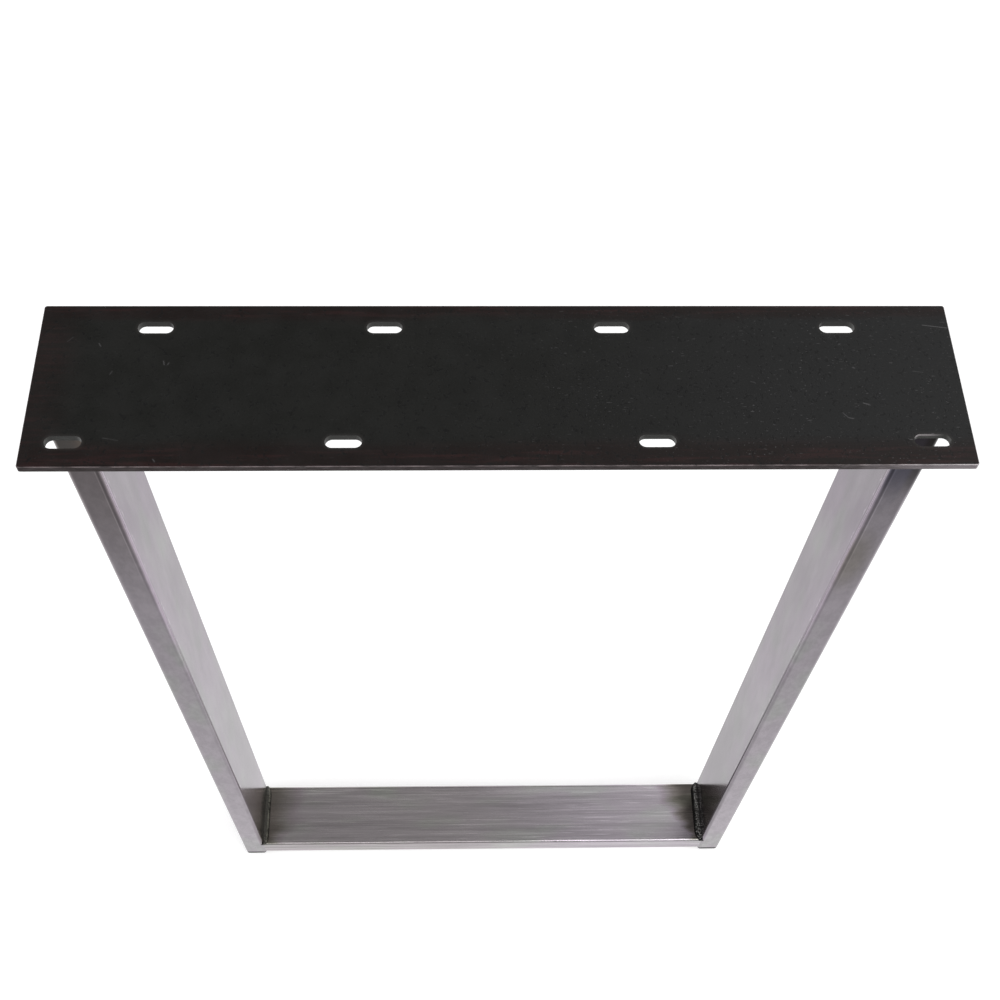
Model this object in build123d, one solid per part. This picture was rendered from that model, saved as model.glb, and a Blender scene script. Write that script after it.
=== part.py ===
from build123d import *
import math
import os

# Welded table leg frame, in millimetres. X runs along the frame, Y through its depth with the front
# at -Y, and Z up. The origin is on the floor, below the middle of the plate.

# Overall sizes
overall_height = 720.0
bottom_span = 465.0      # over the legs' outside faces, at their lower ends

# Top plate
plate_length = 510.0
plate_depth = 110.0
plate_thickness = 4.0
plate_corner = 1.5
plate_edge_break = 0.4
end_overhang = 7.5       # of the plate past each leg's outside face

# Slots in the plate, two rows of four that are longer than they are deep
slot_length = 20.0
slot_width = 8.0
row_inset = 16.0         # from each long edge to the middle of its row
back_end_inset = 63.75   # from each short edge to the middle of the back row's end slot
front_end_inset = 22.5   # the same for the front row
back_inner_spacing = 127.5
front_inner_spacing = 168.0

# Rectangular tube, the same for the legs and the foot
tube_depth = 60.0
tube_thickness = 20.0
tube_wall = 2.0
tube_corner = 3.0
front_overhang = 34.0    # from the plate's front edge back to the tubes' front faces

# Plug in each leg's lower end
plug_flange = 4.0
plug_setback = 0.3       # of the flange inside the tube's outline
plug_clearance = 0.1     # between the fins and the tube's inner faces
plug_shank = 22.0
plug_wall = 1.5
fin_count = 4
fin_thickness = 1.0
fin_reach = 2.5          # how far each fin stands out from the shank

# Weld beads
foot_bead_left = 4.4
foot_bead_right = 5.6
foot_bead_end = 1.6      # size to which a foot bead runs out at the tubes' front and back
bead_taper = 9.0         # length over which it does
top_bead = 4.0
bead_crown = 0.7         # how far the bead's face bulges
ripple_pitch = 2.4
ripple_height = 0.45
ripple_slant = 1.5       # lean of each ripple along the bead, so that its middle runs ahead
bead_root = 3.0          # how far a bead is drawn past its corner before it is cut to the tubes

# Levels and places that follow from the sizes above
plate_underside = overall_height - plate_thickness
top_span = plate_length - 2 * end_overhang
foot_level = plug_flange
foot_top = foot_level + tube_thickness
tube_front = -plate_depth / 2 + front_overhang
tube_back = tube_front + tube_depth
tube_middle = (tube_front + tube_back) / 2
lean = math.atan((top_span - bottom_span) / 2 / (plate_underside - foot_level))
reach = plate_length     # longer than any cut needs
left, right = -1, 1


def outside_x(z):
    """Distance from the middle to a leg's outside face at height z."""
    return bottom_span / 2 + (z - foot_level) * math.tan(lean)


def inside_x(z):
    """Distance from the middle to a leg's inside face at height z."""
    return outside_x(z) - tube_thickness / math.cos(lean)


def layer(low, high):
    """A wide block between two heights."""
    return Pos(0, 0, (low + high) / 2) * Box(3 * reach, 3 * reach, high - low)


def leg_plane(side):
    """Plane square to a leg at its lower end, X across the thin side and Y through the depth."""
    middle = side * (outside_x(foot_level) - tube_thickness / 2 / math.cos(lean))
    return Plane(
        origin=(middle, tube_middle, foot_level),
        x_dir=(math.cos(lean), 0, -side * math.sin(lean)),
        z_dir=(side * math.sin(lean), 0, math.cos(lean)),
    )


def leg_prism(side, section, low, high):
    """A section drawn square to the leg, run along it and cut level at two heights."""
    margin = tube_depth
    start = leg_plane(side).offset(low - foot_level - margin)
    prism = extrude(start * section, amount=high - low + 2 * margin)
    return prism & layer(low, high)


def leg_blank(side):
    """The leg's outside shape, with no bore."""
    section = RectangleRounded(tube_thickness, tube_depth, tube_corner)
    return leg_prism(side, section, foot_level, plate_underside)


def foot_prism(section):
    """A section drawn square to the foot tube and cut along the legs' inside faces."""
    middle = (-reach, tube_middle, foot_level + tube_thickness / 2)
    start = Plane(origin=middle, x_dir=(0, 1, 0), z_dir=(1, 0, 0))
    return extrude(start * section, amount=2 * reach) & between_legs()


def foot_blank():
    """The foot tube's outside shape, with no bore."""
    return foot_prism(RectangleRounded(tube_depth, tube_thickness, tube_corner))


def bore_section(width, depth):
    """The tube's inside outline."""
    inner_corner = tube_corner - tube_wall
    return RectangleRounded(width - 2 * tube_wall, depth - 2 * tube_wall, inner_corner)


def between_legs():
    """Block between the legs' inside faces, for the foot tube's slanted ends."""
    low = foot_level - tube_thickness
    high = foot_top + tube_thickness
    outline = Polyline(
        (-inside_x(low), low),
        (inside_x(low), low),
        (inside_x(high), high),
        (-inside_x(high), high),
        close=True,
    )
    return extrude(Plane.XZ.offset(-reach) * make_face(outline), amount=2 * reach)


def slot_places():
    """Middle of each slot on the plate."""
    row = plate_depth / 2 - row_inset
    spacings = (
        (row, plate_length - 2 * back_end_inset),
        (row, back_inner_spacing),
        (-row, plate_length - 2 * front_end_inset),
        (-row, front_inner_spacing),
    )
    return [(side * spacing / 2, y) for y, spacing in spacings for side in (left, right)]


def top_plate():
    """Flat plate with slots, its long top edges slightly broken."""
    body = extrude(RectangleRounded(plate_length, plate_depth, plate_corner), amount=plate_thickness)
    body = chamfer(body.edges().group_by(Axis.Z)[-1], plate_edge_break)
    slots = [Pos(x, y) * SlotOverall(slot_length, slot_width) for x, y in slot_places()]
    body -= extrude(Sketch() + slots, amount=plate_thickness)
    return Pos(0, 0, plate_underside) * body


def leg_tube(side):
    """Hollow leg, cut level under the plate and above its plug."""
    bore = leg_prism(side, bore_section(tube_thickness, tube_depth), foot_level, plate_underside)
    return leg_blank(side) - bore


def foot_tube():
    """Hollow foot tube between the legs."""
    return foot_blank() - foot_prism(bore_section(tube_depth, tube_thickness))


def end_plug(side):
    """Plug with a flange under the leg and a finned, hollow shank up inside it."""
    outline = offset(RectangleRounded(tube_thickness, tube_depth, tube_corner), -plug_setback)
    flange = leg_prism(side, outline, 0, foot_level)
    fin_x = tube_thickness - 2 * (tube_wall + plug_clearance)
    fin_y = tube_depth - 2 * (tube_wall + plug_clearance)
    fin_corner = tube_corner - tube_wall - plug_clearance
    shank_x = fin_x - 2 * fin_reach
    shank_y = fin_y - 2 * fin_reach
    shank_section = Rectangle(shank_x, shank_y)
    hollow_section = Rectangle(shank_x - 2 * plug_wall, shank_y - 2 * plug_wall)
    top = foot_level + plug_shank
    body = flange + leg_prism(side, shank_section, foot_level, top)
    pitch = plug_shank / fin_count
    for number in range(fin_count):
        low = foot_level + (number + 0.5) * pitch
        fin_section = RectangleRounded(fin_x, fin_y, fin_corner)
        body += leg_prism(side, fin_section, low, low + fin_thickness)
    return body - leg_prism(side, hollow_section, foot_level, top)


def bead_frame(toe_a, toe_b, size):
    """Directions across and out of a fillet bead, its half width and how far out its toes lie."""
    across = (toe_a - toe_b).normalized()
    outward = (toe_a + toe_b).normalized()
    return across, outward, size * toe_a.dot(across), size * toe_a.dot(outward)


def bead_body(start, end, toe_a, toe_b, size):
    """Plain body of a fillet bead, drawn past the corner so that it fills what the tubes leave."""
    across, outward, half, out = bead_frame(toe_a, toe_b, size)
    run = end - start
    middle = Plane(origin=start, x_dir=across, z_dir=across.cross(outward))
    depth = out + bead_root
    section = Pos(0, out - depth / 2) * Rectangle(2 * half, depth)
    return extrude(middle * section, amount=run.length)


def crown_section(origin, run, toe_a, toe_b, size, rise):
    """Slanted cross-section of the bead's bulging face, rise higher than its toes' chord."""
    across, outward, half, out = bead_frame(toe_a, toe_b, size)
    slanted = outward + run * ripple_slant
    toes = origin + outward * out
    plane = Plane(origin=toes, x_dir=across, z_dir=across.cross(slanted))
    crown = (0, rise * slanted.length)
    root = (0, -(out + bead_root / 2) * slanted.length)
    edges = [
        ThreePointArc((half, 0), crown, (-half, 0)),
        Line((-half, 0), root),
        Line(root, (half, 0)),
    ]
    return plane * make_face(edges)


def rippled_bead(start, end, toe_a, toe_b, size, end_size):
    """Fillet bead whose face is a ruled run of high and low slanted sections, smaller at its ends."""
    along = end - start
    run = along.normalized()
    count = 2 * max(2, round(along.length / ripple_pitch))
    sections = []
    for number in range(count + 1):
        share = number / count
        from_end = min(share, 1 - share) * along.length - size
        grown = math.sin(math.pi / 2 * min(1, max(0, from_end / bead_taper)))
        local = end_size + (size - end_size) * grown
        ripple = ripple_height * local / size if number % 2 else 0
        rise = bead_crown * local / size + ripple
        place = start + along * share
        sections.append(crown_section(place, run, toe_a, toe_b, local + ripple / 2, rise))
    return bead_body(start, end, toe_a, toe_b, end_size) + loft(sections, ruled=True)


def foot_weld(side, size):
    """Bead in the corner over the foot tube, with the grooves at front and back filled flush."""
    corner_x = side * inside_x(foot_top)
    # The two welds are mirror images, so each runs the other way along the corner
    start = Vector(corner_x, tube_middle - side * (tube_depth / 2 + size), foot_top)
    end = Vector(corner_x, tube_middle + side * (tube_depth / 2 + size), foot_top)
    along_foot = Vector(-side, 0, 0)
    up_leg = Vector(side * math.sin(lean), 0, math.cos(lean))
    bead = rippled_bead(start, end, along_foot, up_leg, size, foot_bead_end)
    square_leg = leg_prism(side, Rectangle(tube_thickness, tube_depth), foot_level, foot_top)
    inner_half = Pos(-side * tube_thickness / 2, 0, 0) * square_leg
    grooves = square_leg & inner_half
    depth_slab = Pos(0, tube_middle, 0) * Box(3 * reach, tube_depth, 3 * reach)
    return ((bead + grooves) & depth_slab) - leg_blank(side) - foot_blank()


def top_weld(side):
    """Fillet bead round the top of a leg, under the plate."""
    half_x = tube_thickness / 2 / math.cos(lean)
    half_y = tube_depth / 2
    centre = Vector(side * (outside_x(plate_underside) - half_x), tube_middle, plate_underside)
    east, north, down = Vector(1, 0, 0), Vector(0, 1, 0), Vector(0, 0, -1)
    faces = (
        (east, half_x, north, half_y),
        (north, half_y, -east, half_x),
        (-east, half_x, -north, half_y),
        (-north, half_y, east, half_x),
    )
    ring = Part()
    for outward, offset_out, run, half_run in faces:
        face_middle = centre + outward * offset_out
        straight = run * (half_run - tube_corner)
        start, end = face_middle - straight, face_middle + straight
        ring += rippled_bead(start, end, outward, down, top_bead, top_bead)
        ring += corner_bead(face_middle + straight - outward * tube_corner, outward)
    return (ring & layer(plate_underside - 3 * top_bead, plate_underside)) - leg_blank(side)


def corner_bead(centre, outward):
    """Quarter turn of the top bead round one rounded corner of the tube."""
    plane = Plane(origin=centre, x_dir=outward, z_dir=outward.cross(Vector(0, 0, 1)))
    inner = tube_corner / 2
    toe = tube_corner + top_bead
    crown = (tube_corner + top_bead / 2 + bead_crown / 2, -top_bead / 2 - bead_crown / 2)
    edges = [
        Line((inner, 0), (toe, 0)),
        ThreePointArc((toe, 0), crown, (tube_corner, -top_bead)),
        Line((tube_corner, -top_bead), (inner, -top_bead)),
        Line((inner, -top_bead), (inner, 0)),
    ]
    return revolve(plane * make_face(edges), axis=Axis(centre, (0, 0, 1)), revolution_arc=90)


pieces = {
    "top_plate": top_plate(),
    "leg_tube_left": leg_tube(left),
    "leg_tube_right": leg_tube(right),
    "foot_tube": foot_tube(),
    "weld_foot_left": foot_weld(left, foot_bead_left),
    "weld_foot_right": foot_weld(right, foot_bead_right),
    "weld_top_left": top_weld(left),
    "weld_top_right": top_weld(right),
    "end_plug_left": end_plug(left),
    "end_plug_right": end_plug(right),
}

os.makedirs("parts", exist_ok=True)
for name, piece in pieces.items():
    export_step(piece, f"parts/{name}.step")
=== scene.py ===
import math
from collections import namedtuple

import bpy
from mathutils import Matrix, Vector


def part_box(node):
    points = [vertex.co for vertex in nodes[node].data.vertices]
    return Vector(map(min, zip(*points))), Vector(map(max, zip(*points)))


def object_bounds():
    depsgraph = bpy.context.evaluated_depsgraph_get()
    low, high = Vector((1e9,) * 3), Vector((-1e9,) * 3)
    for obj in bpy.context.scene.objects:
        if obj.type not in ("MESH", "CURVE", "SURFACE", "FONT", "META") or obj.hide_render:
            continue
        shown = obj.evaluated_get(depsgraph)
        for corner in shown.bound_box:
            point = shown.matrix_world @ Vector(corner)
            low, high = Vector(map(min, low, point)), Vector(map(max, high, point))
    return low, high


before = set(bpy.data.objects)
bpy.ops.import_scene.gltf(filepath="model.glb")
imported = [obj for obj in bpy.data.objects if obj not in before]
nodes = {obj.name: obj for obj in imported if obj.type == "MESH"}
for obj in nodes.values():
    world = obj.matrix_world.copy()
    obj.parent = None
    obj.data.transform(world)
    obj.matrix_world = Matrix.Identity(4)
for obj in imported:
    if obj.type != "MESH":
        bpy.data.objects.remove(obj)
cad_low, cad_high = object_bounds()

# The looks of a welded raw steel table leg, in metres. X runs along the frame, Y through its depth
# with the front at -Y, and Z up, as in the CAD model. Every CAD node keeps its mesh and gets a
# procedural material, and a studio is set up around them.

LEFT, RIGHT = -1, 1

# Places that the materials need, read from the frame
plate_low, plate_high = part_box("top_plate")
foot_low, foot_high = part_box("foot_tube")
tube_front, tube_back = foot_low.y, foot_high.y
tube_size = foot_high.z - foot_low.z


def colour(red, green, blue):
    """Opaque colour from linear values."""
    return (red, green, blue, 1.0)


# A noise's features in a metre, which may differ by axis, its detail and its roughness
Noise = namedtuple("Noise", "scale detail roughness", defaults=(2.0, 0.5))


class Graph:
    """A node tree built by short calls that take sockets or constants and return sockets."""

    def __init__(self, tree):
        self.tree = tree
        tree.nodes.clear()

    def add(self, kind, inputs=None, **settings):
        """A node with its settings, and its inputs linked or set by name or number."""
        made = self.tree.nodes.new(kind)
        for name, value in settings.items():
            setattr(made, name, value)
        for key, value in (inputs or {}).items():
            if isinstance(value, bpy.types.NodeSocket):
                self.tree.links.new(value, made.inputs[key])
            else:
                made.inputs[key].default_value = value
        return made

    def math(self, operation, a, b=0.0):
        """One arithmetic step on numbers."""
        return self.add("ShaderNodeMath", {0: a, 1: b}, operation=operation).outputs[0]

    def total(self, *terms):
        """Sum of several numbers."""
        result = terms[0]
        for term in terms[1:]:
            result = self.math("ADD", result, term)
        return result

    def less(self, a, b):
        """First number less the second."""
        return self.math("SUBTRACT", a, b)

    def product(self, *factors):
        """Product of several numbers."""
        result = factors[0]
        for factor in factors[1:]:
            result = self.math("MULTIPLY", result, factor)
        return result

    def share(self, a, b):
        """First number over the second."""
        return self.math("DIVIDE", a, b)

    def largest(self, *values):
        """Greatest of several numbers."""
        result = values[0]
        for value in values[1:]:
            result = self.math("MAXIMUM", result, value)
        return result

    def remap(self, value, start, end, low=0.0, high=1.0, smooth=True):
        """A number's way from start to end, turned into low to high and held there."""
        kind = "SMOOTHSTEP" if smooth else "LINEAR"
        inputs = {0: value, 1: start, 2: end, 3: low, 4: high}
        return self.add("ShaderNodeMapRange", inputs, interpolation_type=kind).outputs[0]

    def below(self, value, start, end):
        """One up to the start, fading to zero at the end."""
        return self.remap(value, start, end, 1.0, 0.0)

    def near(self, value, middle, half, soft):
        """One within half of the middle, fading to zero over soft."""
        off = self.math("ABSOLUTE", self.less(value, middle))
        return self.below(off, half, half + soft)

    def between(self, factor, a, b):
        """A number between two numbers."""
        return self.add("ShaderNodeMix", {0: factor, 2: a, 3: b}, data_type="FLOAT").outputs[0]

    def mix(self, factor, a, b):
        """A colour between two colours."""
        return self.add("ShaderNodeMix", {0: factor, 6: a, 7: b}, data_type="RGBA").outputs[2]

    def scale_colour(self, base, factor):
        """A colour made lighter or darker by a number."""
        inputs = {0: base, "Scale": factor}
        return self.add("ShaderNodeVectorMath", inputs, operation="SCALE").outputs[0]

    def lighten(self, base, *shares):
        """A colour made lighter by shares of itself, or darker where they are below zero."""
        return self.scale_colour(base, self.total(*shares, 1.0))

    def dim(self, base, mask, level):
        """A colour brought to a level of itself where the mask is one."""
        return self.scale_colour(base, self.remap(mask, 0.0, 1.0, 1.0, level))

    def tint(self, base, factor, filter_colour):
        """A colour seen through a filter, as far as the factor says."""
        seen = self.vector_math("MULTIPLY", base, filter_colour)[0]
        return self.mix(factor, base, seen)

    def vector_math(self, operation, a, b=(0.0, 0.0, 0.0)):
        """One step on vectors."""
        return self.add("ShaderNodeVectorMath", {0: a, 1: b}, operation=operation).outputs

    def length(self, vector):
        """A vector's length."""
        return self.vector_math("LENGTH", vector)["Value"]

    def vector(self, x, y, z):
        """A vector from three numbers."""
        return self.add("ShaderNodeCombineXYZ", {0: x, 1: y, 2: z}).outputs[0]

    def axes(self, vector):
        """A vector's three numbers."""
        return self.add("ShaderNodeSeparateXYZ", {0: vector}).outputs

    def noise(self, vector, pattern):
        """Smooth random number from 0 to 1, mostly near a half."""
        scale, detail, roughness = pattern
        if isinstance(scale, tuple):
            vector = self.vector_math("MULTIPLY", vector, scale)[0]
            scale = 1.0
        inputs = {"Vector": vector, "Scale": scale, "Detail": detail, "Roughness": roughness}
        return self.add("ShaderNodeTexNoise", inputs).outputs["Fac"]

    def swing(self, noise, low, high, smooth=True):
        """A noise's usual values turned into low to high."""
        return self.remap(noise, 0.3, 0.7, low, high, smooth)

    def wander(self, noise, span):
        """How far a noise pushes a boundary either way, over a span in all."""
        return self.product(self.less(noise, 0.5), span)

    def spot(self, place, middle, radii):
        """One at a place on the object, fading to zero over an ellipsoid."""
        offset = self.vector_math("SUBTRACT", place, middle)[0]
        reached = self.vector_math("DIVIDE", offset, radii)[0]
        return self.below(self.length(reached), 0.2, 1.0)

    def place(self):
        """Place on the object, in metres."""
        return self.add("ShaderNodeTexCoord").outputs["Object"]

    def normal(self):
        """Direction that the surface faces."""
        return self.add("ShaderNodeNewGeometry").outputs["Normal"]


# Studio

# Camera, fitted to the photograph's edges
CAMERA_PLACE = (-0.0234, -0.4730, 1.3300)
CAMERA_PITCH = 60.30      # degrees below the horizon
CAMERA_YAW = -2.75
CAMERA_ROLL = -2.11
FOCAL_RATIO = 1.396       # focal length over image width
OPTICAL_CENTRE = (0.491, 0.582)  # share of the image from its left and from its top
SENSOR = 36.0             # millimetres

# Lamps: name, place, width, height and radiance
SOFTBOXES = (
    ("key", (1.05, -1.55, 1.95), 1.8, 1.4, 2.0),
    ("front", (-0.45, -1.75, 2.10), 1.2, 1.2, 1.1),
    ("fill", (-1.50, -1.10, 1.80), 1.6, 1.6, 1.3),
    ("left_wash", (-2.20, 0.10, 1.70), 2.0, 1.2, 2.0),
    ("right_wash", (2.20, 0.10, 1.70), 2.0, 1.2, 2.0),
)
LAMP_TARGET = Vector((0.0, 0.0, 0.4))

# Here and below, a ramp of four numbers gives a start, an end and the levels there, and one of
# two numbers gives a start and an end.

# World, by direction: a ceiling that grows brighter upwards and to the right, walls that fade
# upwards, and a white sweep low behind the frame
CEILING_RISE = 1.6
CEILING_START = -1.10
CEILING_TO_RIGHT = (0.0, 0.40, 0.0, 0.75)
CEILING_HELD = (0.10, 1.0, 0.10, 1.0)
WALLS = (0.10, 0.50, 0.45, 0.0)
SWEEP_UP = (0.25, 0.65)
SWEEP_BACK = (-0.3, 0.6)
ROOM_LEVEL = 0.8          # of all that together
WHITE = colour(1.0, 1.0, 1.0)

FLOOR_HALF = 8.0
PAPER = colour(0.80, 0.80, 0.80)
NEAR_LIFT = 0.50          # the paper's own glow by the object, where its shadow shows
LIFT_SPAN = (0.7, 2.5)    # distances over which that rises to plain white

# What the steel mirrors of the floor, by Y: dim in front of the frame and bright under it, bright
# again far in front, and a little dimmer behind
MIRRORED_FRONT = (-0.62, -0.05, 0.16, 0.80)
MIRRORED_FAR = (-2.2, -1.0, 0.60, 0.0)
MIRRORED_BACK = (0.10, 0.45, 1.0, 0.91)


def aim_camera():
    """Camera at the photograph's viewing angle."""
    lens = bpy.data.cameras.new("camera")
    lens.sensor_width = SENSOR
    lens.lens = FOCAL_RATIO * SENSOR
    lens.shift_x = 0.5 - OPTICAL_CENTRE[0]
    lens.shift_y = OPTICAL_CENTRE[1] - 0.5
    camera = bpy.data.objects.new("camera", lens)
    turn = Matrix.Rotation(math.radians(CAMERA_YAW), 4, "Z")
    turn @= Matrix.Rotation(math.radians(-CAMERA_PITCH), 4, "X")
    turn @= Matrix.Rotation(math.radians(CAMERA_ROLL), 4, "Y")
    level_gaze = Matrix.Rotation(math.radians(90.0), 4, "X")
    camera.matrix_world = Matrix.Translation(CAMERA_PLACE) @ turn @ level_gaze
    bpy.context.scene.collection.objects.link(camera)
    bpy.context.scene.camera = camera


def softbox(name, place, width, height, radiance):
    """Rectangular lamp of an even brightness, aimed at the frame's middle."""
    lamp = bpy.data.lights.new(name, "AREA")
    lamp.shape = "RECTANGLE"
    lamp.size = width
    lamp.size_y = height
    lamp.energy = radiance * math.pi * width * height
    holder = bpy.data.objects.new(name, lamp)
    holder.location = place
    gaze = LAMP_TARGET - Vector(place)
    holder.rotation_euler = gaze.to_track_quat("-Z", "Y").to_euler()
    bpy.context.scene.collection.objects.link(holder)


def light_world():
    """White backdrop, and for the steel a room with a dim ceiling that is brighter to the right."""
    world = bpy.data.worlds.new("studio")
    world.use_nodes = True
    bpy.context.scene.world = world
    graph = Graph(world.node_tree)
    x, y, z = graph.axes(graph.add("ShaderNodeTexCoord").outputs["Generated"])
    to_right = graph.remap(x, *CEILING_TO_RIGHT, smooth=False)
    ceiling = graph.total(graph.product(z, CEILING_RISE), to_right, CEILING_START)
    ceiling = graph.remap(ceiling, *CEILING_HELD, smooth=False)
    sweep = graph.product(graph.below(z, *SWEEP_UP), graph.remap(y, *SWEEP_BACK))
    room = graph.product(graph.largest(ceiling, graph.remap(z, *WALLS), sweep), ROOM_LEVEL)
    rays = graph.add("ShaderNodeLightPath").outputs
    level = graph.largest(room, rays["Is Camera Ray"], rays["Is Transmission Ray"])
    background = graph.add("ShaderNodeBackground", {"Color": WHITE, "Strength": level})
    graph.add("ShaderNodeOutputWorld", {"Surface": background.outputs[0]})


def white_paper():
    """Paper that keeps a faint shadow, and that the steel mirrors dimmer towards the front."""
    material, graph = new_material("paper")
    place = graph.place()
    y = graph.axes(place)[1]
    rays = graph.add("ShaderNodeLightPath").outputs
    seen = graph.largest(rays["Is Camera Ray"], rays["Is Transmission Ray"])
    lift = graph.product(seen, graph.remap(graph.length(place), *LIFT_SPAN, NEAR_LIFT, 1.0))
    lift = graph.add("ShaderNodeEmission", {"Strength": lift})
    diffuse = graph.add("ShaderNodeBsdfDiffuse", {"Color": PAPER})
    paper = graph.add("ShaderNodeAddShader", {0: diffuse.outputs[0], 1: lift.outputs[0]})

    front = graph.remap(y, *MIRRORED_FRONT, smooth=False)
    mirrored = graph.product(graph.largest(front, graph.remap(y, *MIRRORED_FAR)),
                             graph.remap(y, *MIRRORED_BACK))
    mirrored = graph.add("ShaderNodeEmission", {"Strength": mirrored})
    inputs = {0: rays["Is Glossy Ray"], 1: paper.outputs[0], 2: mirrored.outputs[0]}
    either = graph.add("ShaderNodeMixShader", inputs)
    graph.add("ShaderNodeOutputMaterial", {"Surface": either.outputs[0]})
    return material


def lay_floor():
    """Wide white floor at the frame's foot."""
    level = cad_low.z
    mesh = bpy.data.meshes.new("floor")
    corners = [(x * FLOOR_HALF, y * FLOOR_HALF, level)
               for x, y in ((-1, -1), (1, -1), (1, 1), (-1, 1))]
    mesh.from_pydata(corners, [], [(0, 1, 2, 3)])
    mesh.materials.append(white_paper())
    floor = bpy.data.objects.new("floor", mesh)
    bpy.context.scene.collection.objects.link(floor)


# Materials in general

def new_material(name):
    """Empty material with its graph."""
    material = bpy.data.materials.new(name)
    material.use_nodes = True
    return material, Graph(material.node_tree)


def finish_material(graph, inputs, height, depth):
    """Closes a material with one surface shader and a relief of that depth."""
    relief = graph.add("ShaderNodeBump", {"Height": height, "Distance": depth, "Strength": 1.0})
    inputs["Normal"] = relief.outputs[0]
    shader = graph.add("ShaderNodeBsdfPrincipled", inputs)
    graph.add("ShaderNodeOutputMaterial", {"Surface": shader.outputs[0]})


# Plate

# Slots, as middles and half sizes
SLOT_MIDDLES = [(side * x, y)
                for x, y in ((0.19125, 0.039), (0.06375, 0.039), (0.2325, -0.039), (0.084, -0.039))
                for side in (LEFT, RIGHT)]
SLOT_STRAIGHT = 0.006     # half of the straight part
SLOT_RADIUS = 0.004

# Light nicks and scratches in the scale: start, end, width and strength
PLATE_MARKS = (
    ((0.2400, 0.0406), (0.2540, 0.0384), 0.00055, 0.70),
    ((0.1985, -0.0141), (0.2020, -0.0155), 0.00070, 0.80),
    ((0.1960, 0.0105), (0.1972, 0.0098), 0.00080, 0.55),
    ((0.1905, 0.0265), (0.1915, 0.0272), 0.00070, 0.50),
    ((0.2290, 0.0078), (0.2350, 0.0068), 0.00040, 0.30),
    ((0.1860, -0.0205), (0.1890, -0.0240), 0.00050, 0.50),
    ((0.1890, -0.0240), (0.1920, -0.0246), 0.00060, 0.60),
    ((-0.1846, 0.0155), (-0.1840, 0.0128), 0.00060, 0.70),
    ((-0.1822, 0.0128), (-0.1814, 0.0142), 0.00055, 0.55),
    ((-0.2215, 0.0280), (-0.2200, 0.0255), 0.00055, 0.45),
    ((-0.2390, 0.0290), (-0.2360, 0.0325), 0.00040, 0.25),
    ((-0.2130, 0.0060), (-0.2118, 0.0085), 0.00055, 0.35),
    ((-0.1838, -0.0500), (-0.1826, -0.0518), 0.00065, 0.60),
    ((-0.2120, -0.0362), (-0.2035, -0.0380), 0.00040, 0.25),
)

SCALE_OLIVE = colour(0.0052, 0.0053, 0.0041)
SCALE_GREY = colour(0.0060, 0.0062, 0.0053)
SCALE_BLUE = colour(0.0078, 0.0080, 0.0082)        # towards the right end
BROWN_DEEP = colour(0.0060, 0.0020, 0.0014)
BROWN_LIGHT = colour(0.0190, 0.0052, 0.0050)
RIM_BURNT = colour(0.030, 0.027, 0.025)
SPECK = colour(0.16, 0.155, 0.16)
SHEARED_DARK = colour(0.085, 0.068, 0.068)
SHEARED_LIGHT = colour(0.150, 0.128, 0.130)
SHEARED_HIGHLIGHT = colour(0.56, 0.50, 0.53)          # painted highlight towards the right end
SLOT_WALL = colour(0.13, 0.13, 0.125)
# Painted highlight on the rim of the slots by the right leg
SLOT_RIM_HIGHLIGHT = colour(0.58, 0.54, 0.55)
WORN_EDGE = colour(0.20, 0.165, 0.17)
# Painted highlight on the worn edges, towards the right end
WORN_EDGE_HIGHLIGHT = colour(0.40, 0.37, 0.38)

SKIN_CLOUDS = Noise(11.0, 4.0, 0.6)
SKIN_STREAKS = Noise((22.0, 330.0, 330.0), 3.0, 0.6)
SKIN_GRAIN = Noise(900.0, 3.0, 0.7)
SKIN_SMEARS = Noise(60.0, 4.0, 0.6)
PIT_NOISE = Noise(420.0)
SPECK_NOISE = Noise(800.0)
DASH_NOISE = Noise((260.0, 1000.0, 1000.0))
PATCH_NOISE = Noise(45.0)
BROKEN_LINE_NOISE = Noise(1600.0)
SHEAR_NOISE = Noise((140.0, 140.0, 700.0), 3.0, 0.6)
WEAR_NOISE = Noise(90.0, 3.0)

# Brown border, by the distance from an edge
BORDER_BACK = (0.005, 0.013, 1.0, 0.0)
BORDER_FRONT = (0.008, 0.020, 1.0, 0.0)
BORDER_LEFT = (0.002, 0.030, 0.7, 0.0)
BORDER_BY_CLOUDS = 0.014       # how far the clouds and the streaks move it
BORDER_BY_STREAKS = 0.012
BROWN_STREAKS = (0.46, 0.68)

BLUE_SPAN = (-0.05, 0.22)      # X over which the scale turns blue
GRAIN_LEVELS = (0.72, 1.32)
PITS = (0.60, 0.66)            # noise values that are pits
PIT_LEVEL = 0.25
PIT_DEPTH = -1.2               # against the grain's relief
RIM_SPAN = (0.0, 0.0022)       # distances from a slot over which its burnt rim fades
RIM_STRENGTH = 0.45

# Specks and dashes, as noise values, with how many there are by X and in patches
SPECKS = (0.675, 0.715)
DASHES = (0.675, 0.720)
SPECKS_BY_X = (-0.12, 0.22, 0.12, 1.0)
SPECK_PATCHES = (0.42, 0.60, 0.35, 1.0)
SPECK_STRENGTH = 0.65
BROKEN_LINE = (0.36, 0.56, 0.45, 1.3)   # how a scratch's strength varies along it

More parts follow.
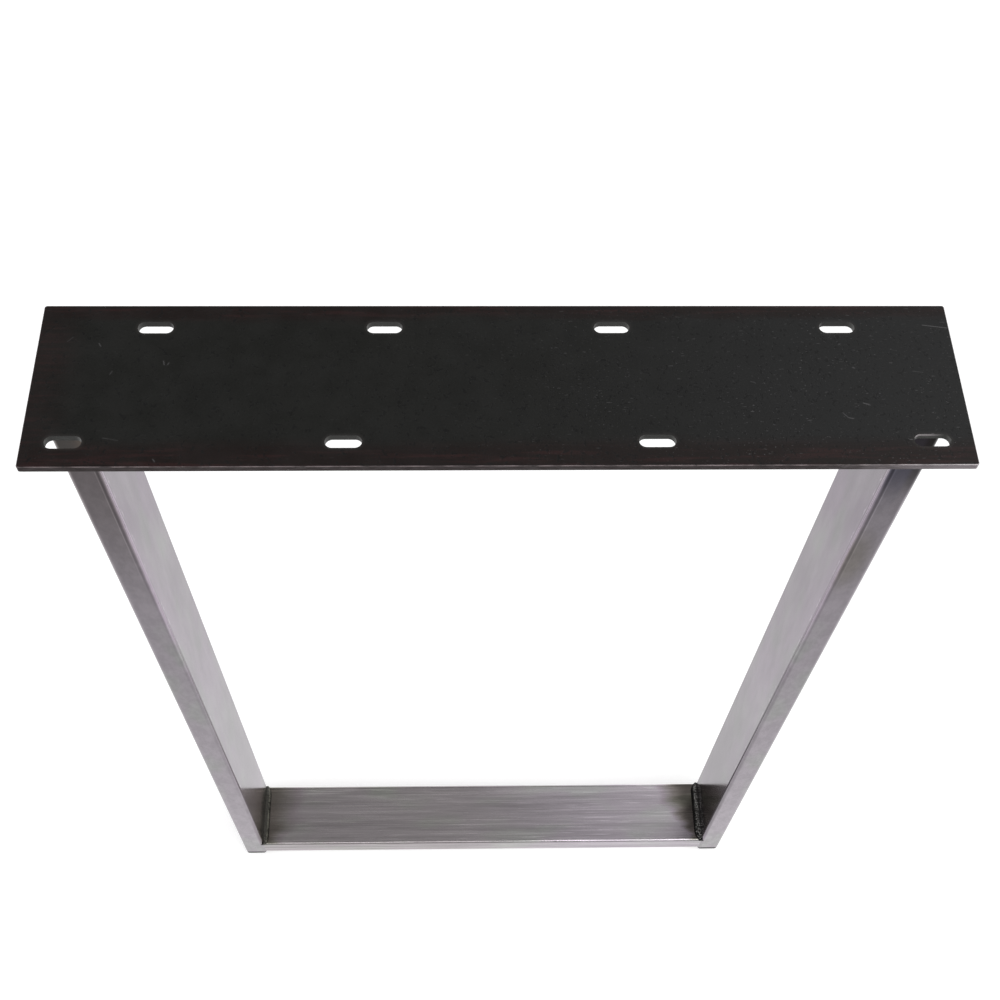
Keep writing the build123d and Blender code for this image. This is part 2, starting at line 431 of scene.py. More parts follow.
# Cut edges
HIGHLIGHT_SPAN = (0.16, 0.262)    # X over which they get a painted highlight
HIGHLIGHT_WANDER = 0.06
RIM_HIGHLIGHT_DEPTHS = (0.0020, 0.0012)  # under the plate's face, over which a slot's painted rim highlight ends
RIM_HIGHLIGHT_LEFT = (0.210, 0.220)     # X over which the painted rim highlight starts, and ends
RIM_HIGHLIGHT_RIGHT = (0.230, 0.240)
WALL_SPAN = (0.001, 0.003)     # distances from a slot over which its wall's colour ends
UPRIGHT = (0.15, 0.35)         # how level a face is, from 0 to 1, where the cut edges end
BROKEN_FROM = (0.35, 0.5)      # and where the broken top edge starts and ends
BROKEN_TO = (0.85, 0.98)
WEAR = (0.36, 0.62, 0.20, 0.9)
CUT_METALLIC = 0.85
WORN_METALLIC = 0.9

SCALE_ROUGHNESS = (0.38, 0.47)
SCALE_SPECULAR = 0.43
SCALE_RELIEF = 0.00003


def mark(graph, x, y, start, end, width, strength):
    """A light scratch between two places on the plate."""
    run = Vector(end) - Vector(start)
    length = run.length
    run.normalize()
    from_x = graph.less(x, start[0])
    from_y = graph.less(y, start[1])
    along = graph.total(graph.product(from_x, run.x), graph.product(from_y, run.y))
    across = graph.total(graph.product(from_x, -run.y), graph.product(from_y, run.x))
    on_run = graph.near(along, length / 2, length / 2 - width, 2 * width)
    return graph.product(on_run, graph.near(across, 0.0, 0.0, width), strength)


def slot_distance(graph, x, y):
    """Distance on the plate to the nearest slot's edge."""
    nearest = None
    for middle_x, middle_y in SLOT_MIDDLES:
        off = graph.math("ABSOLUTE", graph.less(x, middle_x))
        past = graph.largest(graph.less(off, SLOT_STRAIGHT), 0.0)
        distance = graph.length(graph.vector(past, graph.less(y, middle_y), 0.0))
        nearest = distance if nearest is None else graph.math("MINIMUM", nearest, distance)
    return graph.less(nearest, SLOT_RADIUS)


def scale_skin(graph, place, x, y, grain):
    """Colour of the mill scale, with a brown border that runs in streaks along the plate."""
    cloud = graph.noise(place, SKIN_CLOUDS)
    rolled = graph.noise(place, SKIN_STREAKS)
    base = graph.mix(graph.swing(cloud, 0.0, 1.0), SCALE_OLIVE, SCALE_GREY)
    base = graph.mix(graph.remap(x, *BLUE_SPAN), base, SCALE_BLUE)
    wander = graph.total(graph.wander(cloud, BORDER_BY_CLOUDS),
                         graph.wander(rolled, BORDER_BY_STREAKS))
    from_back = graph.total(graph.less(plate_high.y, y), wander)
    from_front = graph.total(graph.less(y, plate_low.y), wander)
    from_left = graph.total(graph.less(x, plate_low.x), wander)
    border = graph.largest(graph.remap(from_back, *BORDER_BACK),
                           graph.remap(from_front, *BORDER_FRONT),
                           graph.remap(from_left, *BORDER_LEFT))
    brown = graph.mix(graph.remap(rolled, *BROWN_STREAKS), BROWN_DEEP, BROWN_LIGHT)
    base = graph.mix(border, base, brown)
    return graph.scale_colour(base, graph.swing(grain, *GRAIN_LEVELS, smooth=False))


def plate_specks(graph, place, x, y):
    """How light the plate's specks, dashes and scratches are, more of them to the right."""
    specks = graph.remap(graph.noise(place, SPECK_NOISE), *SPECKS)
    dashes = graph.remap(graph.noise(place, DASH_NOISE), *DASHES)
    patches = graph.remap(graph.noise(place, PATCH_NOISE), *SPECK_PATCHES)
    light = graph.product(graph.largest(specks, dashes), graph.remap(x, *SPECKS_BY_X), patches,
                          SPECK_STRENGTH)
    broken_line = graph.remap(graph.noise(place, BROKEN_LINE_NOISE), *BROKEN_LINE)
    for start, end, width, strength in PLATE_MARKS:
        scratch = mark(graph, x, y, start, end, width, strength)
        light = graph.largest(light, graph.product(scratch, broken_line))
    return light


def sheared_steel(graph, x, z, bright, shear, from_slot):
    """Colour of the plate's cut edges with a painted highlight, and of its slots' walls with a
    painted rim highlight by the right leg.
    """
    cut = graph.mix(graph.swing(shear, 0.0, 1.0), SHEARED_DARK, SHEARED_LIGHT)
    cut = graph.mix(bright, cut, SHEARED_HIGHLIGHT)
    # Painted highlight along the upper rim of the slot walls by the right leg
    rim_highlight = graph.product(graph.remap(z, *(plate_high.z - depth for depth in RIM_HIGHLIGHT_DEPTHS)),
                         graph.remap(x, *RIM_HIGHLIGHT_LEFT), graph.below(x, *RIM_HIGHLIGHT_RIGHT))
    wall = graph.mix(rim_highlight, SLOT_WALL, SLOT_RIM_HIGHLIGHT)
    return graph.mix(graph.remap(from_slot, *WALL_SPAN), wall, cut)


def mill_scale():
    """Hot-rolled plate: near-black scale, brown along the long edges, bare where it was cut,
    painted highlights on its edges to the right.
    """
    material, graph = new_material("mill_scale")
    place = graph.place()
    x, y, z = graph.axes(place)
    level = graph.math("ABSOLUTE", graph.axes(graph.normal())[2])
    grain = graph.noise(place, SKIN_GRAIN)
    from_slot = slot_distance(graph, x, y)

    # Flat faces
    base = scale_skin(graph, place, x, y, grain)
    pits = graph.remap(graph.noise(place, PIT_NOISE), *PITS)
    base = graph.dim(base, pits, PIT_LEVEL)
    rim = graph.product(graph.below(from_slot, *RIM_SPAN), RIM_STRENGTH)
    base = graph.mix(rim, base, RIM_BURNT)
    light = plate_specks(graph, place, x, y)
    base = graph.mix(light, base, SPECK)

    # Sheared edges and slot walls, and the broken top edges that wear bare
    upright = graph.below(level, *UPRIGHT)
    broken = graph.product(graph.remap(level, *BROKEN_FROM), graph.below(level, *BROKEN_TO))
    shear = graph.noise(place, SHEAR_NOISE)
    # Painted highlight on the cut and broken edges towards the right end
    bright = graph.remap(graph.total(x, graph.wander(shear, HIGHLIGHT_WANDER)), *HIGHLIGHT_SPAN)
    base = graph.mix(upright, base, sheared_steel(graph, x, z, bright, shear, from_slot))
    worn = graph.remap(graph.noise(place, WEAR_NOISE), *WEAR)
    worn = graph.product(broken, graph.largest(worn, bright))
    base = graph.mix(worn, base, graph.mix(bright, WORN_EDGE, WORN_EDGE_HIGHLIGHT))

    smears = graph.noise(place, SKIN_SMEARS)
    metallic = graph.largest(graph.product(upright, CUT_METALLIC),
                             graph.product(worn, WORN_METALLIC), light)
    inputs = {
        "Base Color": base,
        "Metallic": metallic,
        "Roughness": graph.swing(smears, *SCALE_ROUGHNESS),
        "Specular IOR Level": SCALE_SPECULAR,
    }
    height = graph.total(grain, graph.product(pits, PIT_DEPTH))
    finish_material(graph, inputs, height, SCALE_RELIEF)
    return material


# Tubes

# Noises across a tube's thin side, through its depth and along it
DRAWN_CLOUDS = Noise((26.0, 26.0, 7.0), 3.0, 0.55)
DRAWN_HUES = Noise((36.0, 36.0, 15.0))
DRAWN_LINES = Noise((800.0, 800.0, 16.0), 3.0, 0.65)
DRAWN_BANDS = Noise((150.0, 150.0, 6.0))
MOTTLE_NOISE = Noise((170.0, 170.0, 95.0), 3.0, 0.6)
DRIFT_NOISE = Noise((30.0, 30.0, 11.0), 3.0, 0.6)
LILAC_NOISE = Noise((24.0, 24.0, 10.0))
HIGHLIGHT_DASH_NOISE = Noise((500.0, 500.0, 170.0))
LEG_HEAT_NOISE = Noise(60.0, 3.0)
FOOT_HEAT_NOISE = Noise((90.0, 90.0, 30.0), 3.0)
STRIPE_NOISE = Noise((520.0, 520.0, 16.0), 3.0, 0.6)

STEEL_LILAC = colour(0.456, 0.414, 0.456)
STEEL_NEUTRAL = colour(0.444, 0.438, 0.440)
HUE_RANGE = (0.48, 0.70)  # noise values from lilac to neutral
CLOUD_SHADE = 0.05

# Heat marks: the purple fringe by how clean the steel is, and where it turns olive
HEAT_FRINGE = (1.0, 0.92, 0.98)
FRINGE = (0.84, 0.02, 0.14)
FRINGE_STRENGTH = 0.5
OLIVE_SPAN = (0.25, 0.95)

# Depths behind a leg's front face over which it ends, and the same for the inside face
FRONT_SPAN = (0.0004, 0.0016)
INSIDE_SPAN = (0.0005, 0.0040)
SHADE_RISE = 0.30         # height over which the inside face's painted shade changes
MOTTLE = 0.075
MOTTLE_OFF_FRONT = 0.15   # share of the mottling that stays off the front face
DRIFT = 0.10
LILAC_RANGE = (0.40, 0.60)
LILAC_FILTER = (0.99, 0.945, 1.0)

# Painted reflection and highlight lines along a leg's front inside corner: distance back from the
# front face or out from the inside face, half the width, and how softly they end
INNER_REFLECTION_LINE = (0.0026, 0.0002, 0.0006)
HIGHLIGHT_DASH_LINE = (0.0042, 0.0004, 0.0008)
OUTER_REFLECTION_LINE = (0.0028, 0.0002, 0.0006)
HIGHLIGHT_LINE = (0.0038, 0.0001, 0.0005)
INNER_REFLECTION_STRENGTH, OUTER_REFLECTION_STRENGTH, HIGHLIGHT_LINE_STRENGTH = 0.42, 0.22, 0.30
HIGHLIGHT_DASHES = (0.56, 0.64)     # noise values that are painted highlight dashes
HIGHLIGHT_DASH_STRENGTH = 0.45
CORNER_SHEEN_FROM = (0.0001, 0.0005)   # distances back over which the painted sheen on the rounded corner starts and ends
CORNER_SHEEN_TO = (0.0022, 0.0030)
CORNER_SHEEN_STRENGTH = 0.55
UPPER_SPAN = (0.50, 0.62)        # heights where the painted lines and the corner's painted sheen change
LOWER_SPAN = (0.40, 0.56)
CORNER_SHEEN_SPAN = (0.34, 0.56)

# Heat from the foot weld and the top weld, partly painted shade, and a painted contact shadow below
HEAT_WANDER = 0.020
HEAT_SPAN = (0.05, 1.0)          # as shares of its reach
LEG_HEAT_FILTER = (0.98, 0.95, 0.84)
PLATE_HEAT_WANDER = 0.6          # share of the wander that moves the top weld's heat
BLUE_HEAT_SPAN = (0.616, 0.668)  # heights, right leg
BLUE_HEAT_INNER = colour(0.40, 0.42, 0.49)
BLUE_HEAT_OUTER = colour(0.26, 0.27, 0.26)
BLUE_HEAT_ACROSS = (0.011, 0.015)
BLUE_HEAT_OUTER_RISE = -0.006
SMUDGE_PLACE = (0.2290, tube_front, 0.562)
SMUDGE_RADII = (0.016, 0.02, 0.050)
SMUDGE_FILTER = (0.76, 0.76, 0.67)
BROWN_HEAT_SPAN = (0.480, 0.680)  # heights, left leg
BROWN_HEAT_FILTER = (0.76, 0.74, 0.70)
# Soot and a painted shadow of the plate, at the top of the front faces
SOOT_AND_SHADOW_SPAN = (0.668, 0.690)       # heights, both legs
SOOT_AND_SHADOW_RIGHT = (0.42, 0.38, 0.36)
SOOT_AND_SHADOW_LEFT_INNER = colour(0.88, 0.82, 0.70)
SOOT_AND_SHADOW_LEFT_OUTER = colour(0.62, 0.64, 0.58)
SOOT_AND_SHADOW_ACROSS = (0.003, 0.012)
FOOT_CONTACT_SHADOW = (0.0003, 0.0009)       # painted contact shadow at the lower end
FOOT_CONTACT_SHADOW_LEVEL = 0.5

# What differs between the legs: the painted light level of the front face, and the painted shade
# level of the inside face at its foot and above; how much of the painted inner reflection line
# stays high up;
# and how far the foot weld's heat and painted reflection reach at the back, how much further
# towards the front, and how dark they leave the steel
LegLook = namedtuple("LegLook", "front inside_low inside_high line_above reach spread darkest")
LEG_LOOKS = {
    LEFT: LegLook(1.0, 0.94, 0.94, 0.25, 0.024, 1.1, 0.50),
    RIGHT: LegLook(1.07, 0.64, 0.83, 0.6, 0.048, 1.7, 0.95),
}
LEG_STREAKS = 0.010
LEG_ROUGHNESS = (0.13, 0.17)
LEG_ANISOTROPY = 0.3
LEG_RELIEF = 0.000002

FOOT_STREAKS = 0.15
FOOT_ROUGHNESS = (0.20, 0.28)
FOOT_ANISOTROPY = 0.5
FOOT_RELIEF = 0.000006
FOOT_PAINTED_LIGHT = (-0.02, 0.17, 1.22, 1.42)    # the foot tube's painted light, rising to the right
BACK_PAINTED_SHEEN = 0.2                          # and how much painted sheen it has by its back edge
BACK_SHEEN_DEPTHS = (0.016, 0.006)
BACK_SHEEN_BY_X = (-0.02, 0.06)
STRIPES = (0.55, 0.68)                   # noise values that are brushed stripes, with painted reflection in them
STRIPE_DEPTHS = (0.018, 0.004)
STRIPE_LEVELS = (0.5, 1.0)
STRIPES_BY_X = (-0.16, 0.16, 0.36, 0.62)
WARM_SPAN = (-0.05, 0.12)
WARM_FILTER = (0.99, 1.0, 0.935)
FOOT_HEAT_FILTER = (1.0, 0.98, 0.82)
FOOT_HEAT_WANDER = 0.024
FOOT_BEAD_LEFT = 0.0044   # how far each foot weld covers the tube
FOOT_BEAD_RIGHT = 0.0056

# How far the heat reaches along the foot tube by the distance back from its front, how dark it
# leaves the steel, and as shares of the reach where it starts and ends
FOOT_REACH_LEFT = (0.004, 0.024, 0.020, 0.040)
FOOT_HEAT_LEFT = (-0.1, 1.0)
FOOT_DARKEST_LEFT = 0.38
FOOT_REACH_RIGHT = (0.004, 0.044, 0.008, 0.035)
FOOT_HEAT_RIGHT = (0.15, 1.0)
FOOT_DARKEST_RIGHT = (0.004, 0.036, 0.38, 0.19)
FOOT_FRONT_SPAN = (0.0006, 0.0026)


def drawn_steel(graph, run, streaks):
    """Colour of bare tube: lilac and neutral clouds drawn out along it, with fine lines in them.

    run holds the place with X across the thin side, Y through the depth and Z along the tube, and
    streaks says how strong the lines are.
    """
    cloud = graph.noise(run, DRAWN_CLOUDS)
    hue = graph.noise(run, DRAWN_HUES)
    line = graph.noise(run, DRAWN_LINES)
    band = graph.noise(run, DRAWN_BANDS)
    base = graph.mix(graph.remap(hue, *HUE_RANGE), STEEL_LILAC, STEEL_NEUTRAL)
    base = graph.lighten(base, graph.swing(cloud, -CLOUD_SHADE, CLOUD_SHADE, smooth=False),
                         graph.swing(line, -streaks, streaks, smooth=False),
                         graph.swing(band, -streaks, streaks, smooth=False))
    return base, line


def heated(graph, base, keep, olive):
    """Steel darkened by welding heat, and on the legs by painted shade: keep is 1 on clean steel,
    with a purple fringe before it.
    """
    fringe = graph.product(graph.near(keep, *FRINGE), FRINGE_STRENGTH)
    base = graph.tint(base, fringe, HEAT_FRINGE)
    base = graph.tint(base, graph.below(keep, *OLIVE_SPAN), olive)
    return graph.scale_colour(base, keep)


def brushed(graph, base, line, axis, rough, anisotropic, depth):
    """Closes a material as metal drawn along an axis."""
    tangent = graph.vector_math("CROSS_PRODUCT", graph.normal(), axis)[0]
    inputs = {
        "Base Color": base,
        "Metallic": 1.0,
        "Roughness": rough,
        "Anisotropic": anisotropic,
        "Tangent": tangent,
    }
    finish_material(graph, inputs, line, depth)


def outside_x(name, side, top):
    """How far out a leg's outside face lies at its top or bottom end."""
    corners = nodes[name].data.vertices
    low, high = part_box(name)
    level = high.z if top else low.z
    return max(side * corner.co.x for corner in corners if abs(corner.co.z - level) < 1e-5)


def leg_run(graph, name, side):
    """Place along a leg: across from its inside face outwards, through its depth, and up.

    The last value is the leg's axis.
    """
    low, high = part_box(name)
    bottom = outside_x(name, side, False)
    slope = (outside_x(name, side, True) - bottom) / (high.z - low.z)
    inside = bottom - slope * low.z - tube_size * math.hypot(1.0, slope)
    x, y, z = graph.axes(graph.place())
    across = graph.total(graph.product(x, float(side)), graph.product(z, -slope), -inside)
    return across, y, z, (side * slope, 0.0, 1.0)


def leg_clouds(graph, base, run, on_front, inward):
    """Mottling, mostly on the front face, and slow drifts of shade and hue on the inside face."""
    mottle = graph.noise(run, MOTTLE_NOISE)
    mottle = graph.product(graph.swing(mottle, -MOTTLE, MOTTLE),
                           graph.remap(on_front, 0.0, 1.0, MOTTLE_OFF_FRONT, 1.0))
    drift = graph.noise(run, DRIFT_NOISE)
    drift = graph.product(graph.swing(drift, -DRIFT, DRIFT), inward)
    base = graph.lighten(base, mottle, drift)
    lilac = graph.remap(graph.noise(run, LILAC_NOISE), *LILAC_RANGE)
    return graph.tint(base, graph.product(lilac, inward), LILAC_FILTER)


def painted_corner_reflections(graph, base, run, look, on_front, inward):
    """Painted reflection lines where the inside face meets the rounded corner and on the front
    beside it.
    """
    across, y, z = graph.axes(run)
    turn = graph.less(y, tube_front)
    upper = graph.remap(z, *UPPER_SPAN)
    lower = graph.remap(z, *LOWER_SPAN, 1.0, look.line_above)
    inner = graph.product(graph.near(turn, *INNER_REFLECTION_LINE), inward, lower, INNER_REFLECTION_STRENGTH)
    outer = graph.product(graph.near(across, *OUTER_REFLECTION_LINE), on_front, upper, OUTER_REFLECTION_STRENGTH)
    base = graph.scale_colour(base, graph.less(1.0, graph.largest(inner, outer)))

    # Painted highlights: dashes behind the line, a light line before it, and a sheen on the corner
    # high up
    highlight_line = graph.product(graph.near(across, *HIGHLIGHT_LINE), on_front, upper,
                               HIGHLIGHT_LINE_STRENGTH)
    highlight_dashes = graph.remap(graph.noise(run, HIGHLIGHT_DASH_NOISE), *HIGHLIGHT_DASHES)
    highlight_dashes = graph.product(highlight_dashes, graph.near(turn, *HIGHLIGHT_DASH_LINE), inward, HIGHLIGHT_DASH_STRENGTH)
    rounded = graph.product(graph.remap(turn, *CORNER_SHEEN_FROM), graph.below(turn, *CORNER_SHEEN_TO),
                            inward, graph.remap(z, *CORNER_SHEEN_SPAN), CORNER_SHEEN_STRENGTH)
    return graph.lighten(base, graph.largest(highlight_line, highlight_dashes, rounded))


def foot_heat_and_reflection(graph, base, run, look, wander, inward):
    """Foot weld heat and a painted reflection of the foot tube, up the inside face, further towards
    the front.
    """
    _, y, z = graph.axes(run)
    height = graph.total(graph.less(z, foot_high.z), wander)
    reach = graph.total(graph.product(graph.less(tube_back, y), look.spread), look.reach)
    keep = graph.remap(graph.share(height, reach), *HEAT_SPAN, look.darkest, 1.0)
    keep = graph.between(inward, 1.0, keep)
    return heated(graph, base, keep, LEG_HEAT_FILTER)


def plate_heat(graph, base, run, side, wander, on_front):
    """Heat from the top weld, which spreads down the front face, with soot and the plate's painted
    shadow.
    """
    across, _, z = graph.axes(run)
    level = graph.total(z, graph.product(wander, PLATE_HEAT_WANDER))
    if side == RIGHT:
        outer = graph.remap(across, *BLUE_HEAT_ACROSS)
        blue = graph.mix(outer, BLUE_HEAT_INNER, BLUE_HEAT_OUTER)
        lower = graph.total(level, graph.product(outer, BLUE_HEAT_OUTER_RISE))
        heat = graph.product(graph.remap(lower, *BLUE_HEAT_SPAN), on_front)
        base = graph.tint(base, heat, blue)
        smudge = graph.spot(graph.place(), SMUDGE_PLACE, SMUDGE_RADII)
        base = graph.tint(base, graph.product(smudge, on_front), SMUDGE_FILTER)
        soot_and_shadow = SOOT_AND_SHADOW_RIGHT
    else:
        heat = graph.product(graph.remap(level, *BROWN_HEAT_SPAN), on_front)
        base = graph.tint(base, heat, BROWN_HEAT_FILTER)
        soot_and_shadow = graph.mix(graph.remap(across, *SOOT_AND_SHADOW_ACROSS), SOOT_AND_SHADOW_LEFT_INNER, SOOT_AND_SHADOW_LEFT_OUTER)
    # Soot and the plate's painted shadow at the top of the front face
    return graph.tint(base, graph.product(graph.remap(level, *SOOT_AND_SHADOW_SPAN), on_front), soot_and_shadow)


def leg_steel(name, side):
    """Smooth bare tube with painted light, shade and corner reflections, and heat marks by the
    welds.
    """
    material, graph = new_material("steel_" + name)
    look = LEG_LOOKS[side]
    across, y, z, axis = leg_run(graph, name, side)
    run = graph.vector(across, y, z)
    on_front = graph.below(graph.less(y, tube_front), *FRONT_SPAN)
    inward = graph.below(across, *INSIDE_SPAN)
    base, line = drawn_steel(graph, run, LEG_STREAKS)
    # Painted light and shade: each face brought to its own level, the inside face darker towards
    # its foot
    inside = graph.remap(z, foot_high.z, foot_high.z + SHADE_RISE,
                         look.inside_low, look.inside_high)
    base = graph.scale_colour(base, graph.remap(inward, 0.0, 1.0, look.front, inside))
    base = leg_clouds(graph, base, run, on_front, inward)
    base = painted_corner_reflections(graph, base, run, look, on_front, inward)
    wander = graph.wander(graph.noise(run, LEG_HEAT_NOISE), HEAT_WANDER)
    base = foot_heat_and_reflection(graph, base, run, look, wander, inward)
    base = plate_heat(graph, base, run, side, wander, on_front)
    # Painted contact shadow along the lower end
    base = graph.dim(base, graph.near(z, foot_low.z, *FOOT_CONTACT_SHADOW), FOOT_CONTACT_SHADOW_LEVEL)
    rough = graph.swing(line, *LEG_ROUGHNESS)
    brushed(graph, base, line, axis, rough, LEG_ANISOTROPY, LEG_RELIEF)
    return material


def foot_keep(graph, run, x, y):
    """How clean the foot tube's steel is beside the welds, whose heat reaches less far in front."""
    wander = graph.wander(graph.noise(run, FOOT_HEAT_NOISE), FOOT_HEAT_WANDER)
    to_left = graph.total(x, -foot_low.x - FOOT_BEAD_LEFT, wander)
    to_right = graph.total(graph.product(x, -1.0), foot_high.x - FOOT_BEAD_RIGHT, wander)
    back = graph.less(y, tube_front)
    reached = graph.share(to_left, graph.remap(back, *FOOT_REACH_LEFT))
    keep_left = graph.remap(reached, *FOOT_HEAT_LEFT, FOOT_DARKEST_LEFT, 1.0)
    reached = graph.share(to_right, graph.remap(back, *FOOT_REACH_RIGHT))
    darkest = graph.remap(back, *FOOT_DARKEST_RIGHT)
    keep_right = graph.remap(reached, *FOOT_HEAT_RIGHT, darkest, 1.0)
    on_front = graph.below(back, *FOOT_FRONT_SPAN)
    return graph.largest(graph.product(keep_left, keep_right), on_front)


def foot_steel():
    """The foot tube, brushed in long streaks along X, with painted light to the right, burnt at
    both welded ends.
    """
    material, graph = new_material("steel_foot_tube")
    x, y, z = graph.axes(graph.place())
    run = graph.vector(z, y, x)
    base, line = drawn_steel(graph, run, FOOT_STREAKS)

    # Painted light: lighter to the right, most of all near the back, and in broad brushed stripes
    # with painted reflection
    base = graph.scale_colour(base, graph.remap(x, *FOOT_PAINTED_LIGHT))
    from_back = graph.less(tube_back, y)
    back_sheen = graph.remap(from_back, *BACK_SHEEN_DEPTHS, 0.0, BACK_PAINTED_SHEEN)
    base = graph.lighten(base, graph.product(back_sheen, graph.remap(x, *BACK_SHEEN_BY_X)))
    stripe = graph.noise(run, STRIPE_NOISE)
    stripe = graph.product(graph.remap(stripe, *STRIPES),
                           graph.remap(from_back, *STRIPE_DEPTHS, *STRIPE_LEVELS),
                           graph.remap(x, *STRIPES_BY_X))
    base = graph.lighten(base, stripe)
    base = graph.tint(base, graph.below(x, *WARM_SPAN), WARM_FILTER)

    base = heated(graph, base, foot_keep(graph, run, x, y), FOOT_HEAT_FILTER)
    rough = graph.swing(line, *FOOT_ROUGHNESS)
    brushed(graph, base, line, (1.0, 0.0, 0.0), rough, FOOT_ANISOTROPY, FOOT_RELIEF)
    return material


# Welds

# What differs between the foot welds: the colours of the skin and the ridge, how far up the
# bead's slope the ridge lies, how many painted glints show, and how metallic the skin is
WeldLook = namedtuple("WeldLook", "skin ridge crest glint metallic")
FOOT_WELD_LOOKS = {
    LEFT: WeldLook((0.054, 0.051, 0.042), colour(0.200, 0.194, 0.158), 0.44, 0.10, 0.4),
    RIGHT: WeldLook((0.013, 0.012, 0.011), colour(0.030, 0.028, 0.026), 0.64, 1.0, 0.7),
}
FOOT_WELD_STREAKS = 0.02
FOOT_WELD_ROUGHNESS = (0.32, 0.52)
FLUSH_ROUGHNESS = 0.22
FOOT_WELD_RELIEF = 0.00012
FLUSH_SPAN = (-0.0014, -0.0004)   # heights over the foot tube where the flush part ends
FOOT_WELD_GRAIN = Noise(750.0, 4.0, 0.65)
FOOT_WELD_LUMPS = Noise(240.0)
BURNT_LEVELS = (0.35, 0.65, 0.5, 1.4)
RIDGE = (0.04, 0.10)              # half its width and how softly it ends
RIDGE_LUMPS = (0.42, 0.50)
RIDGE_GRAIN = (0.3, 0.6, 0.5, 1.0)
RIDGE_WANDER = 0.6
TOE_BELOW = (0.20, 0.10)          # below the ridge, where the dark toe ends
TOE_LUMPS = (0.60, 0.70)
TOE_LEVEL = 0.15
GLINT = colour(0.36, 0.355, 0.34)
GLINT_NOISE = Noise(950.0)
GLINTS = (0.575, 0.605)           # noise values that are painted glints
GLINT_BAND = (0.6, 0.4)
GLINT_BAND_BACK = (0.002, 0.020, 0.45, 0.26)  # its width by the distance back from the front
MORE_GLINTS_BACK = (0.020, 0.060, 0.0, 0.014)
GLINT_METALLIC = 0.1

TOP_WELD_DARK = colour(0.130, 0.122, 0.118)
TOP_WELD_LIGHT = colour(0.260, 0.248, 0.240)
TOP_WELD_BROWN = (0.85, 0.72, 0.55)
TOP_WELD_GRAIN = Noise(700.0, 4.0, 0.6)
TOP_WELD_PATCHES = Noise(110.0, 3.0, 0.55)
TOP_WELD_LIGHTER = (0.35, 0.65)
TOP_WELD_BROWNER = (0.42, 0.62)
TOP_WELD_METALLIC = 0.95
TOP_WELD_ROUGHNESS = (0.3, 0.5)
TOP_WELD_RELIEF = 0.00010
UPPER_TOE = (-0.0012, -0.0002)    # heights over the plate's underside where the dark toes lie
LOWER_TOE = (-0.0046, -0.0034)
TOP_TOE_LEVEL = 0.35


def foot_weld_metal(name, leg, side):
    """Burnt weld with a broken ridge beside a dark toe, ground bright where it is flush."""
    material, graph = new_material("steel_" + name)
    look = FOOT_WELD_LOOKS[side]
    across, y, z, _ = leg_run(graph, leg, side)
    steel, _ = drawn_steel(graph, graph.vector(across, y, z), FOOT_WELD_STREAKS)
    place = graph.place()
    grain = graph.noise(place, FOOT_WELD_GRAIN)
    lumps = graph.noise(place, FOOT_WELD_LUMPS)

    # Share of the way up the bead's slope, from the foot tube to the leg
    out = graph.largest(graph.product(across, -1.0), 0.0)
    up = graph.less(z, foot_high.z)
    slope = graph.share(up, graph.total(up, out, 0.0001))
    wavy = graph.total(slope, graph.wander(lumps, RIDGE_WANDER))

    burnt = graph.scale_colour(look.skin, graph.remap(grain, *BURNT_LEVELS))
    toe = graph.largest(graph.remap(wavy, *(look.crest - below for below in TOE_BELOW)),
                        graph.remap(lumps, *TOE_LUMPS))
    burnt = graph.scale_colour(burnt, graph.remap(toe, 0.0, 1.0, TOE_LEVEL, 1.0))
    ridge = graph.product(graph.near(wavy, look.crest, *RIDGE),
                          graph.remap(lumps, *RIDGE_LUMPS), graph.remap(grain, *RIDGE_GRAIN))
    base = graph.mix(ridge, burnt, look.ridge)

    # Painted glints round the ridge, in a band that is wider at the front
    back = graph.less(y, tube_front)
    glints = graph.total(graph.noise(place, GLINT_NOISE), graph.remap(back, *MORE_GLINTS_BACK))
    off_ridge = graph.share(graph.less(slope, look.crest), graph.remap(back, *GLINT_BAND_BACK))
    glints = graph.product(graph.remap(glints, *GLINTS), graph.near(off_ridge, 0.0, *GLINT_BAND),
                           look.glint)
    base = graph.mix(glints, base, GLINT)

    flush = graph.below(up, *FLUSH_SPAN)
    metallic = graph.remap(glints, 0.0, 0.5, graph.largest(flush, look.metallic), GLINT_METALLIC)
    inputs = {
        "Base Color": graph.mix(flush, base, steel),
        "Metallic": metallic,
        "Roughness": graph.between(flush, graph.swing(grain, *FOOT_WELD_ROUGHNESS),
                                   FLUSH_ROUGHNESS),
    }
    relief = graph.product(grain, graph.less(1.0, flush))
    finish_material(graph, inputs, relief, FOOT_WELD_RELIEF)
    return material


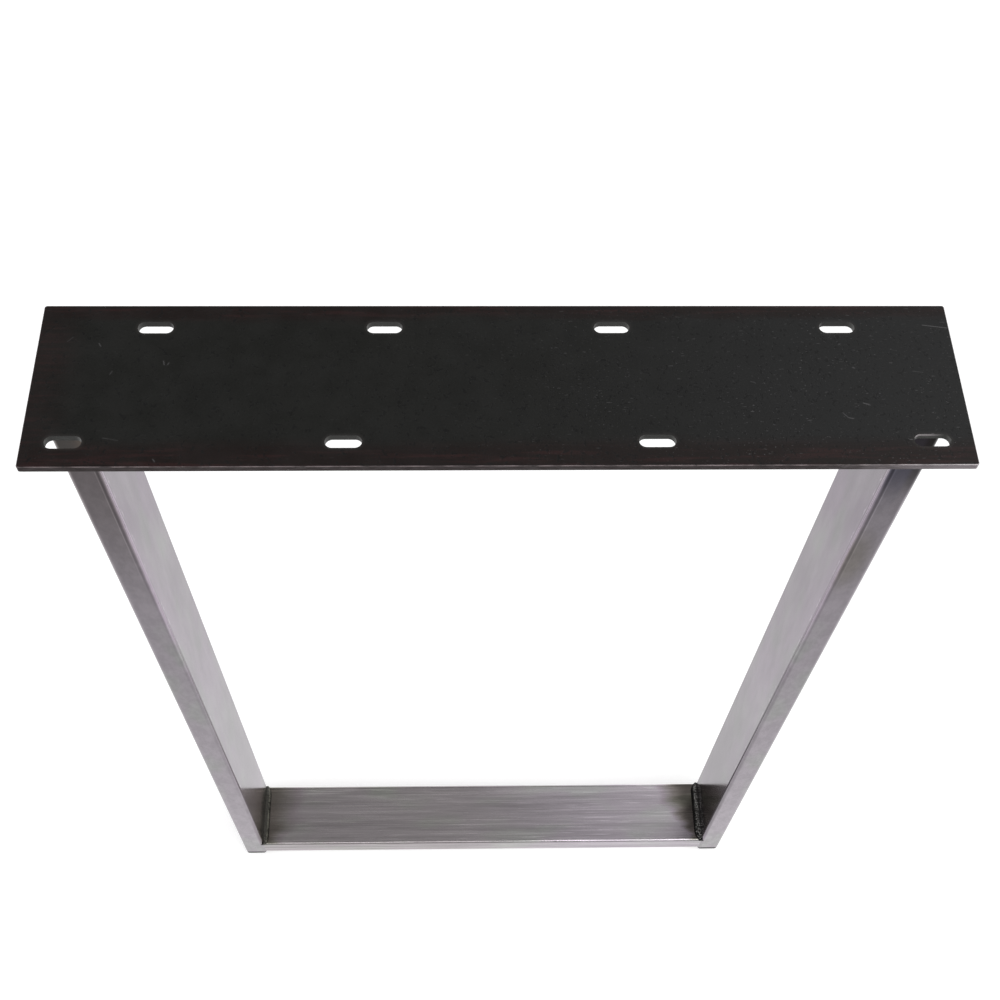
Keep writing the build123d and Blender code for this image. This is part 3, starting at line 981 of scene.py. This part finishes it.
def top_weld_metal():
    """Weld under the plate: grey ripples with brown patches and dark toes."""
    material, graph = new_material("steel_top_weld")
    place = graph.place()
    z = graph.axes(place)[2]
    grain = graph.noise(place, TOP_WELD_GRAIN)
    patch = graph.noise(place, TOP_WELD_PATCHES)
    base = graph.mix(graph.remap(grain, *TOP_WELD_LIGHTER), TOP_WELD_DARK, TOP_WELD_LIGHT)
    base = graph.tint(base, graph.remap(patch, *TOP_WELD_BROWNER), TOP_WELD_BROWN)
    height = graph.less(z, plate_low.z)
    toes = graph.largest(graph.remap(height, *UPPER_TOE), graph.below(height, *LOWER_TOE))
    inputs = {
        "Base Color": graph.dim(base, toes, TOP_TOE_LEVEL),
        "Metallic": TOP_WELD_METALLIC,
        "Roughness": graph.swing(grain, *TOP_WELD_ROUGHNESS),
    }
    finish_material(graph, inputs, grain, TOP_WELD_RELIEF)
    return material


# Plugs

PLASTIC_DARK = colour(0.006, 0.006, 0.007)
PLASTIC_LIGHT = colour(0.012, 0.012, 0.013)
PLASTIC_SCUFF = colour(0.030, 0.030, 0.032)
PLASTIC_GRAIN = Noise(2500.0, roughness=0.6)
SCUFF_NOISE = Noise(260.0, 4.0, 0.7)
SCUFFS = (0.56, 0.72, 0.0, 0.5)
PLASTIC_ROUGHNESS = (0.48, 0.64)
PLASTIC_RELIEF = 0.00003


def black_plastic():
    """Moulded plug with a faint spark-eroded grain."""
    material, graph = new_material("plug_plastic")
    place = graph.place()
    grain = graph.noise(place, PLASTIC_GRAIN)
    scuff = graph.noise(place, SCUFF_NOISE)
    base = graph.mix(grain, PLASTIC_DARK, PLASTIC_LIGHT)
    inputs = {
        "Base Color": graph.mix(graph.remap(scuff, *SCUFFS), base, PLASTIC_SCUFF),
        "Roughness": graph.swing(grain, *PLASTIC_ROUGHNESS),
    }
    finish_material(graph, inputs, grain, PLASTIC_RELIEF)
    return material


def paint(name, material):
    """Gives a CAD node its finish."""
    for slot in nodes[name].material_slots:
        slot.material = material


paint("top_plate", mill_scale())
paint("foot_tube", foot_steel())
top_weld = top_weld_metal()
plastic = black_plastic()
for end, side in (("left", LEFT), ("right", RIGHT)):
    leg = "leg_tube_" + end
    weld = "weld_foot_" + end
    paint(leg, leg_steel(leg, side))
    paint(weld, foot_weld_metal(weld, leg, side))
    paint("weld_top_" + end, top_weld)
    paint("end_plug_" + end, plastic)

aim_camera()
light_world()
lay_floor()
for softbox_values in SOFTBOXES:
    softbox(*softbox_values)
bpy.context.scene.view_settings.view_transform = "Standard"
